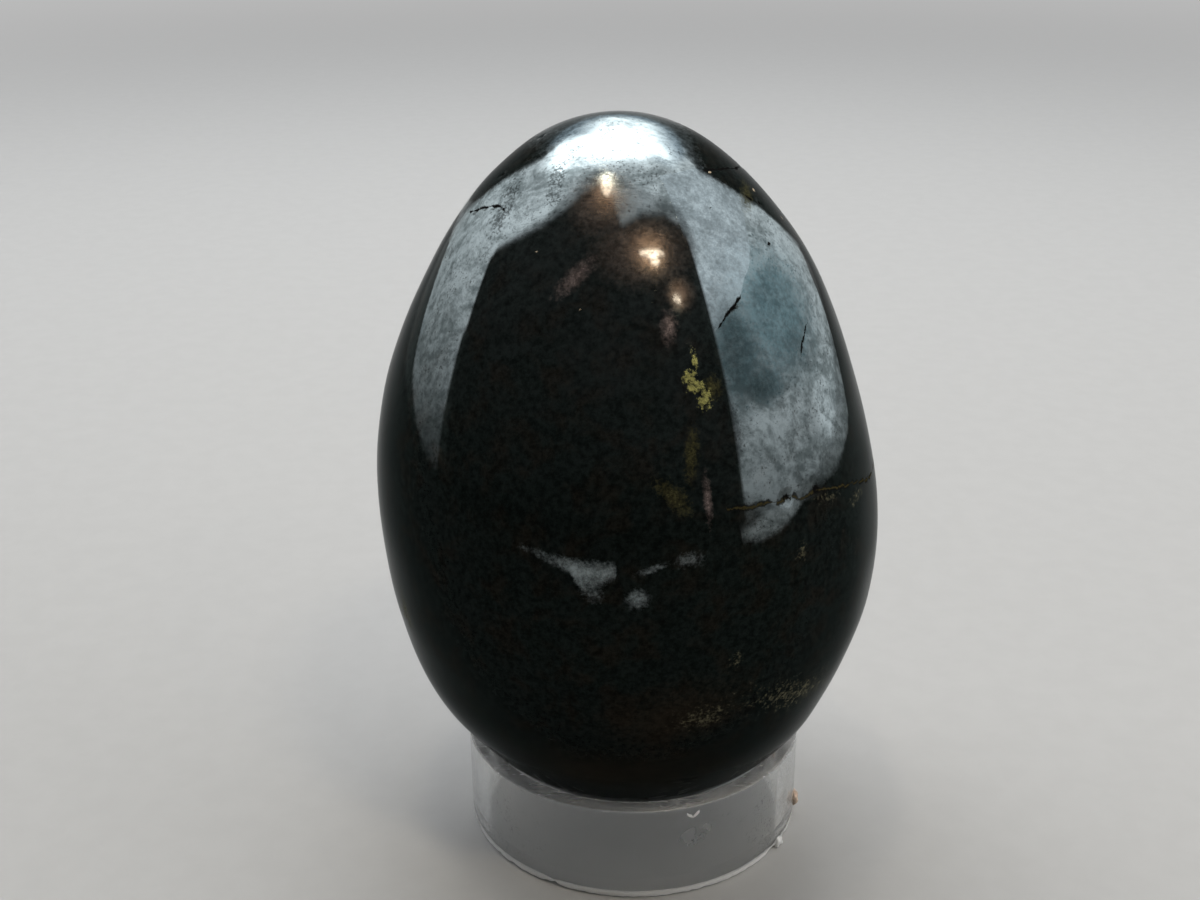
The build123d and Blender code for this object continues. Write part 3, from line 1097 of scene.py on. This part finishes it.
class EGGSTAND_OT_clear_ring(Operator):
    """Build the clear ring with its sawn edges"""

    bl_idname = "eggstand.clear_ring"
    bl_label = "Clear ring"

    def execute(self, context):
        ring = context.scene.ring_shape
        look = context.scene.ring_finish
        section, finish_rows = self.section(ring)
        azimuth = np.linspace(0, tau, ring.columns, endpoint=False)[None, :]
        radius = np.broadcast_to(section[:, :1], (len(section), ring.columns))
        level = np.broadcast_to(section[:, 1:], radius.shape)
        nick = self.nicks(azimuth, ring)
        reach_up, reach_in = NICK_REACH
        low_edge = np.exp(-(level / (reach_up * MM)) ** 2)
        low_edge = low_edge * smooth_step(ring.radius - reach_in * MM, ring.radius, radius)
        radius = radius - nick * low_edge
        level = level + NICK_LIFT * nick * low_edge
        piece = loop_shell("tube_ring", round_axis(radius, azimuth, level))
        store(piece, "haze", self.smudge(azimuth, radius, level, ring))
        finishes = (
            Plastic("clear plastic", look.clear, 0.015, 0.75, 0.02 * MM, 1.0),
            Plastic("sawn plastic", look.sawn, 0.30, 0.5, 0.06 * MM, 0.2),
            Plastic("rubbed plastic", look.clear, 0.24, 0.5, 0.06 * MM, 0.75),
        )
        for plastic in finishes:
            piece.data.materials.append(clear_material(plastic))
        piece.data.polygons.foreach_set("material_index", np.repeat(finish_rows, ring.columns))
        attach(piece, "stand")
        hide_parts("ring_stand")
        return {"FINISHED"}

    def section(self, ring):
        """Section of the tube's wall as radius and height, and the finish of each of its faces.

        Straight runs join four quarter arcs, in the order bottom, outside, top and inside. The
        walls are clear, the bottom and its two edges are sawn, and the top and its two are rubbed.
        """
        inner, outer = ring.radius - ring.wall, ring.radius
        edge, low, high = ring.edge, ring.low_edge, ring.height
        arc = np.linspace(0, pi / 2, ARC_POINTS)
        across = np.linspace(inner + edge, outer - low, ARC_POINTS)[1:-1]
        back = np.linspace(outer - edge, inner + edge, ARC_POINTS)[1:-1]
        up = np.linspace(low, high - edge, WALL_POINTS)[1:-1]
        corners = (
            (outer - low, low, low, -pi / 2), (outer - edge, high - edge, edge, 0.0),
            (inner + edge, high - edge, edge, pi / 2), (inner + edge, edge, edge, pi),
        )
        runs = (
            (across, np.zeros_like(across)), (np.full_like(up, outer), up),
            (back, np.full_like(back, high)), (np.full_like(up, inner), up[::-1]),
        )
        clear, sawn, rubbed = 0, 1, 2
        finishes = ((sawn, sawn), (clear, rubbed), (rubbed, rubbed), (clear, sawn))
        parts, rows = [], []
        for corner, (radius, level), (run_finish, arc_finish) in zip(corners, runs, finishes):
            middle, base, bend, start = corner
            turned = stacked(middle + bend * np.cos(start + arc), base + bend * np.sin(start + arc))
            parts += [stacked(radius, level), turned]
            rows += [np.full(len(radius), run_finish), np.full(len(arc), arc_finish)]
        return np.concatenate(parts), np.concatenate(rows).astype(np.int32)

    def smudge(self, azimuth, radius, level, ring):
        """Haze of the oval smudge on the outside, which falls evenly from its middle and leans."""
        turned = np.degrees(np.angle(np.exp(1j * (azimuth - radians(SMUDGE_AZIMUTH)))))
        above = level / MM - SMUDGE_HEIGHT
        half_width, half_height = SMUDGE_HALVES
        way_out = np.hypot((turned - SMUDGE_LEAN * above) / half_width, above / half_height)
        outside = radius > ring.radius - ring.wall / 2
        return np.clip(SMUDGE_STRENGTH - way_out, 0.0, 1.0) * outside

    def nicks(self, azimuth, ring):
        """Depth of the nicks round the lower edge: a fine saw wave and seeded rounded bites."""
        draw = np.random.default_rng(11)
        middles = draw.uniform(0, tau, BITES)
        widths = radians(1.0) * draw.uniform(*BITE_WIDTHS, BITES)
        depths = ring.chip * draw.uniform(*BITE_DEPTHS, BITES)
        away = np.angle(np.exp(1j * (azimuth[..., None] - middles)))
        bites = (depths * np.exp(-((away / widths) ** 2))).sum(axis=-1)
        return bites + SAW_WAVE_SHARE * ring.chip * (1 + np.cos(SAW_WAVES * azimuth))


class EGGSTAND_OT_ring_crumbs(Operator):
    """Add the dried crumb, the saw burr and the flecks of dried glue on the ring's outer wall"""

    bl_idname = "eggstand.ring_crumbs"
    bl_label = "Crumb, burr and flecks"

    def execute(self, context):
        ring = context.scene.ring_shape
        look = context.scene.ring_finish
        crumb = self.lump("dried_crumb", ring, (-9.0, 1.4), (0.50, 0.55, 0.95), seed=3)
        crumb.data.materials.append(crumb_material(look))
        burr = self.lump("saw_burr", ring, (-31.0, 0.45), (0.34, 0.60, 0.50), seed=8)
        flecks = (
            self.lump("glue_fleck_left", ring, (-72.6, 8.55), (0.03, 0.13, 0.36), seed=6, tilt=-55.0),
            self.lump("glue_fleck_right", ring, (-70.4, 8.60), (0.03, 0.14, 0.42), seed=7, tilt=50.0),
        )
        for piece in (burr, *flecks):
            piece.data.materials.append(bpy.data.materials["sawn plastic"])
            store(piece, "haze", np.ones(len(piece.data.vertices)))
        for piece in (crumb, burr, *flecks):
            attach(piece, "stand")
        return {"FINISHED"}

    def lump(self, name, ring, place, halves, seed, tilt=0.0):
        """Ball of three half sizes, outwards, across and up, with waves on its skin, on the wall.

        Its place is the azimuth in degrees and the height in millimetres, like its half sizes.
        A point of the ball is (1 + wave) * half * (cos a sin t, sin a sin t, - cos t). It turns by
        the tilt in the wall, and its way across is carried round the ring.
        """
        turn, around = pole_angles(*LUMP_GRID)
        ball = round_axis(np.sin(turn), around, -np.cos(turn))
        wave = 1 + LUMP_WAVE * ripples(ball, LUMP_WAVE_LENGTH, seed)
        outward, across, upward = np.moveaxis(ball * wave[..., None] * np.array(halves) * MM, -1, 0)
        cosine, sine = np.cos(radians(tilt)), np.sin(radians(tilt))
        azimuth = radians(place[0]) + (across * cosine + upward * sine) / ring.radius
        level = np.maximum(place[1] * MM + upward * cosine - across * sine, ABOVE_TABLE * MM)
        return pole_shell(name, round_axis(ring.radius + outward, azimuth, level))


class EGGSTAND_OT_stage(Operator):
    """Set the pale floor, the glowing boards, the small lamps, the pale room and the camera"""

    bl_idname = "eggstand.stage"
    bl_label = "Stage"

    def execute(self, context):
        stage = context.scene.egg_stage
        half = stage.floor_half
        corners = np.array([(-half, -half, 0), (half, -half, 0), (half, half, 0), (-half, half, 0)])
        floor = link_mesh("floor", corners, [(0, 1, 2, 3)])
        floor.data.materials.append(floor_material(stage))
        wall, roof, key = stage.wall_level, stage.roof_level, stage.key_level
        self.board("left_board", [(-WALL_AWAY, y, z) for y, z in LEFT_BOARD], wall, wall)
        self.board("right_board", [(WALL_AWAY, y, z) for y, z in RIGHT_BOARD], wall, wall)
        self.board("roof_board", [(x, y, ROOF_UP) for x, y in ROOF_BOARD], roof)
        self.board("eave_board", [(x, y, EAVE_UP) for x, y in EAVE_BOARD], EAVE_SHARE * roof)
        glare, halo = self.slope(GLARE_FOOT, GLARE_BOARD), self.slope(HALO_FOOT, HALO_BOARD)
        self.board("glare_board", glare, key, rim=GLARE_RIM)
        self.board("halo_board", halo, HALO_SHARE * key, rim=HALO_RIM, colour=stage.cool)
        for number, (place, size, turn, level) in enumerate(BULBS):
            self.bulb(f"bulb_{number}", place, size, turn, level, stage.warm)
        room = bpy.data.worlds.new("pale room")
        room.use_nodes = True
        tree = room.node_tree
        sky = tree.nodes["Background"]
        sky.inputs["Color"].default_value = (1.0, 1.0, 1.0, 1.0)
        strength = blend(tree, seen_rays(tree), stage.world_level, stage.backdrop)
        tree.links.new(strength, sky.inputs["Strength"])
        context.scene.world = room
        self.camera(context, stage)
        context.scene.view_settings.view_transform = "Standard"
        return {"FINISHED"}

    def slope(self, foot, corners):
        """Corners on the slope behind the egg: the foot, X across, and the way down the slope."""
        across, down = np.array(corners).T[..., None]
        return np.array(foot) + across * np.array((1.0, 0.0, 0.0)) + down * np.array(DOWN_THE_SLOPE)

    def board(self, name, corners, level, behind_level=0.0, rim=0.01, colour=(1.0, 1.0, 1.0)):
        """Flat glowing board that faces the egg, hidden from the camera and without a shadow.

        The sum of the cross products of neighbouring corners points along its normal. Each corner
        has a twin outside it, along the mean of its two edges' outward normals, where the glow
        ends.
        """
        corners = np.array(corners)
        normal = np.cross(corners, np.roll(corners, -1, axis=0)).sum(axis=0)
        if normal @ corners.mean(axis=0) > 0:
            corners, normal = corners[::-1], -normal
        edges = np.roll(corners, -1, axis=0) - corners
        outward = np.cross(edges, normal)
        outward /= np.linalg.norm(outward, axis=1, keepdims=True)
        outward += np.roll(outward, 1, axis=0)
        outward /= np.linalg.norm(outward, axis=1, keepdims=True)
        sides = len(corners)
        here = np.arange(sides)
        after = np.roll(here, -1)
        skirt = stacked(after, here, here + sides, after + sides)
        made = link_mesh(
            name, np.concatenate([corners, corners + rim * outward]),
            [tuple(range(sides)), *skirt.tolist()],
        )
        store(made, "glow", np.repeat([1.0, 0.0], sides))
        made.data.materials.append(glow_material(name, level, behind_level, colour))
        made.visible_camera = False
        made.visible_shadow = False

    def bulb(self, name, place, size, turn, level, colour):
        """Oval lamp that shines down. Its power is pi * its sides * brightness."""
        lamp = bpy.data.lights.new(name, "AREA")
        lamp.shape = "ELLIPSE"
        lamp.size, lamp.size_y = size
        lamp.energy = pi * size[0] * size[1] * level
        lamp.color = colour
        made = bpy.data.objects.new(name, lamp)
        made.location = place
        made.rotation_euler = (0.0, 0.0, radians(turn))
        made.visible_camera = False
        bpy.context.scene.collection.objects.link(made)

    def camera(self, context, stage):
        """Camera that looks along +Y, pitched down and rolled."""
        lens = bpy.data.cameras.new("camera")
        lens.sensor_width = 36.0
        lens.lens = stage.lens
        lens.clip_start = 0.01
        made = bpy.data.objects.new("camera", lens)
        tilt = Matrix.Rotation(pi / 2 - stage.camera_pitch, 4, "X")
        roll = Matrix.Rotation(stage.camera_roll, 4, "Z")
        made.matrix_world = Matrix.Translation(stage.camera_place) @ tilt @ roll
        context.scene.collection.objects.link(made)
        context.scene.camera = made


class EGGSTAND_PT_sidebar(Panel):
    """Lists the pieces and the stage in the sidebar"""

    bl_idname = "EGGSTAND_PT_sidebar"
    bl_label = "Stone egg"
    bl_space_type = "VIEW_3D"
    bl_region_type = "UI"
    bl_category = "Stone egg"

    def draw(self, context):
        for builder in BUILDERS:
            self.layout.operator(builder.bl_idname)
        for name in SETTINGS:
            box = self.layout.box()
            settings = getattr(context.scene, name)
            for prop in settings.__annotations__:
                box.prop(settings, prop)


SETTINGS = {
    "egg_shape": EggShape,
    "stone_finish": StoneFinish,
    "ring_shape": RingShape,
    "ring_finish": RingFinish,
    "egg_stage": StageSetup,
}
BUILDERS = (
    EGGSTAND_OT_polished_egg,
    EGGSTAND_OT_clear_ring,
    EGGSTAND_OT_ring_crumbs,
    EGGSTAND_OT_stage,
)


def register():
    """Registers the settings, the operators and the panel."""
    for name, settings in SETTINGS.items():
        bpy.utils.register_class(settings)
        setattr(bpy.types.Scene, name, PointerProperty(type=settings))
    for builder in BUILDERS:
        bpy.utils.register_class(builder)
    bpy.utils.register_class(EGGSTAND_PT_sidebar)


def unregister():
    """Takes them away again, last first."""
    bpy.utils.unregister_class(EGGSTAND_PT_sidebar)
    for builder in reversed(BUILDERS):
        bpy.utils.unregister_class(builder)
    for name, settings in reversed(SETTINGS.items()):
        delattr(bpy.types.Scene, name)
        bpy.utils.unregister_class(settings)


def main():
    """Builds the stage and the pieces in order."""
    register()
    bpy.ops.eggstand.stage()
    bpy.ops.eggstand.polished_egg()
    bpy.ops.eggstand.clear_ring()
    bpy.ops.eggstand.ring_crumbs()


if __name__ == "__main__":
    main()
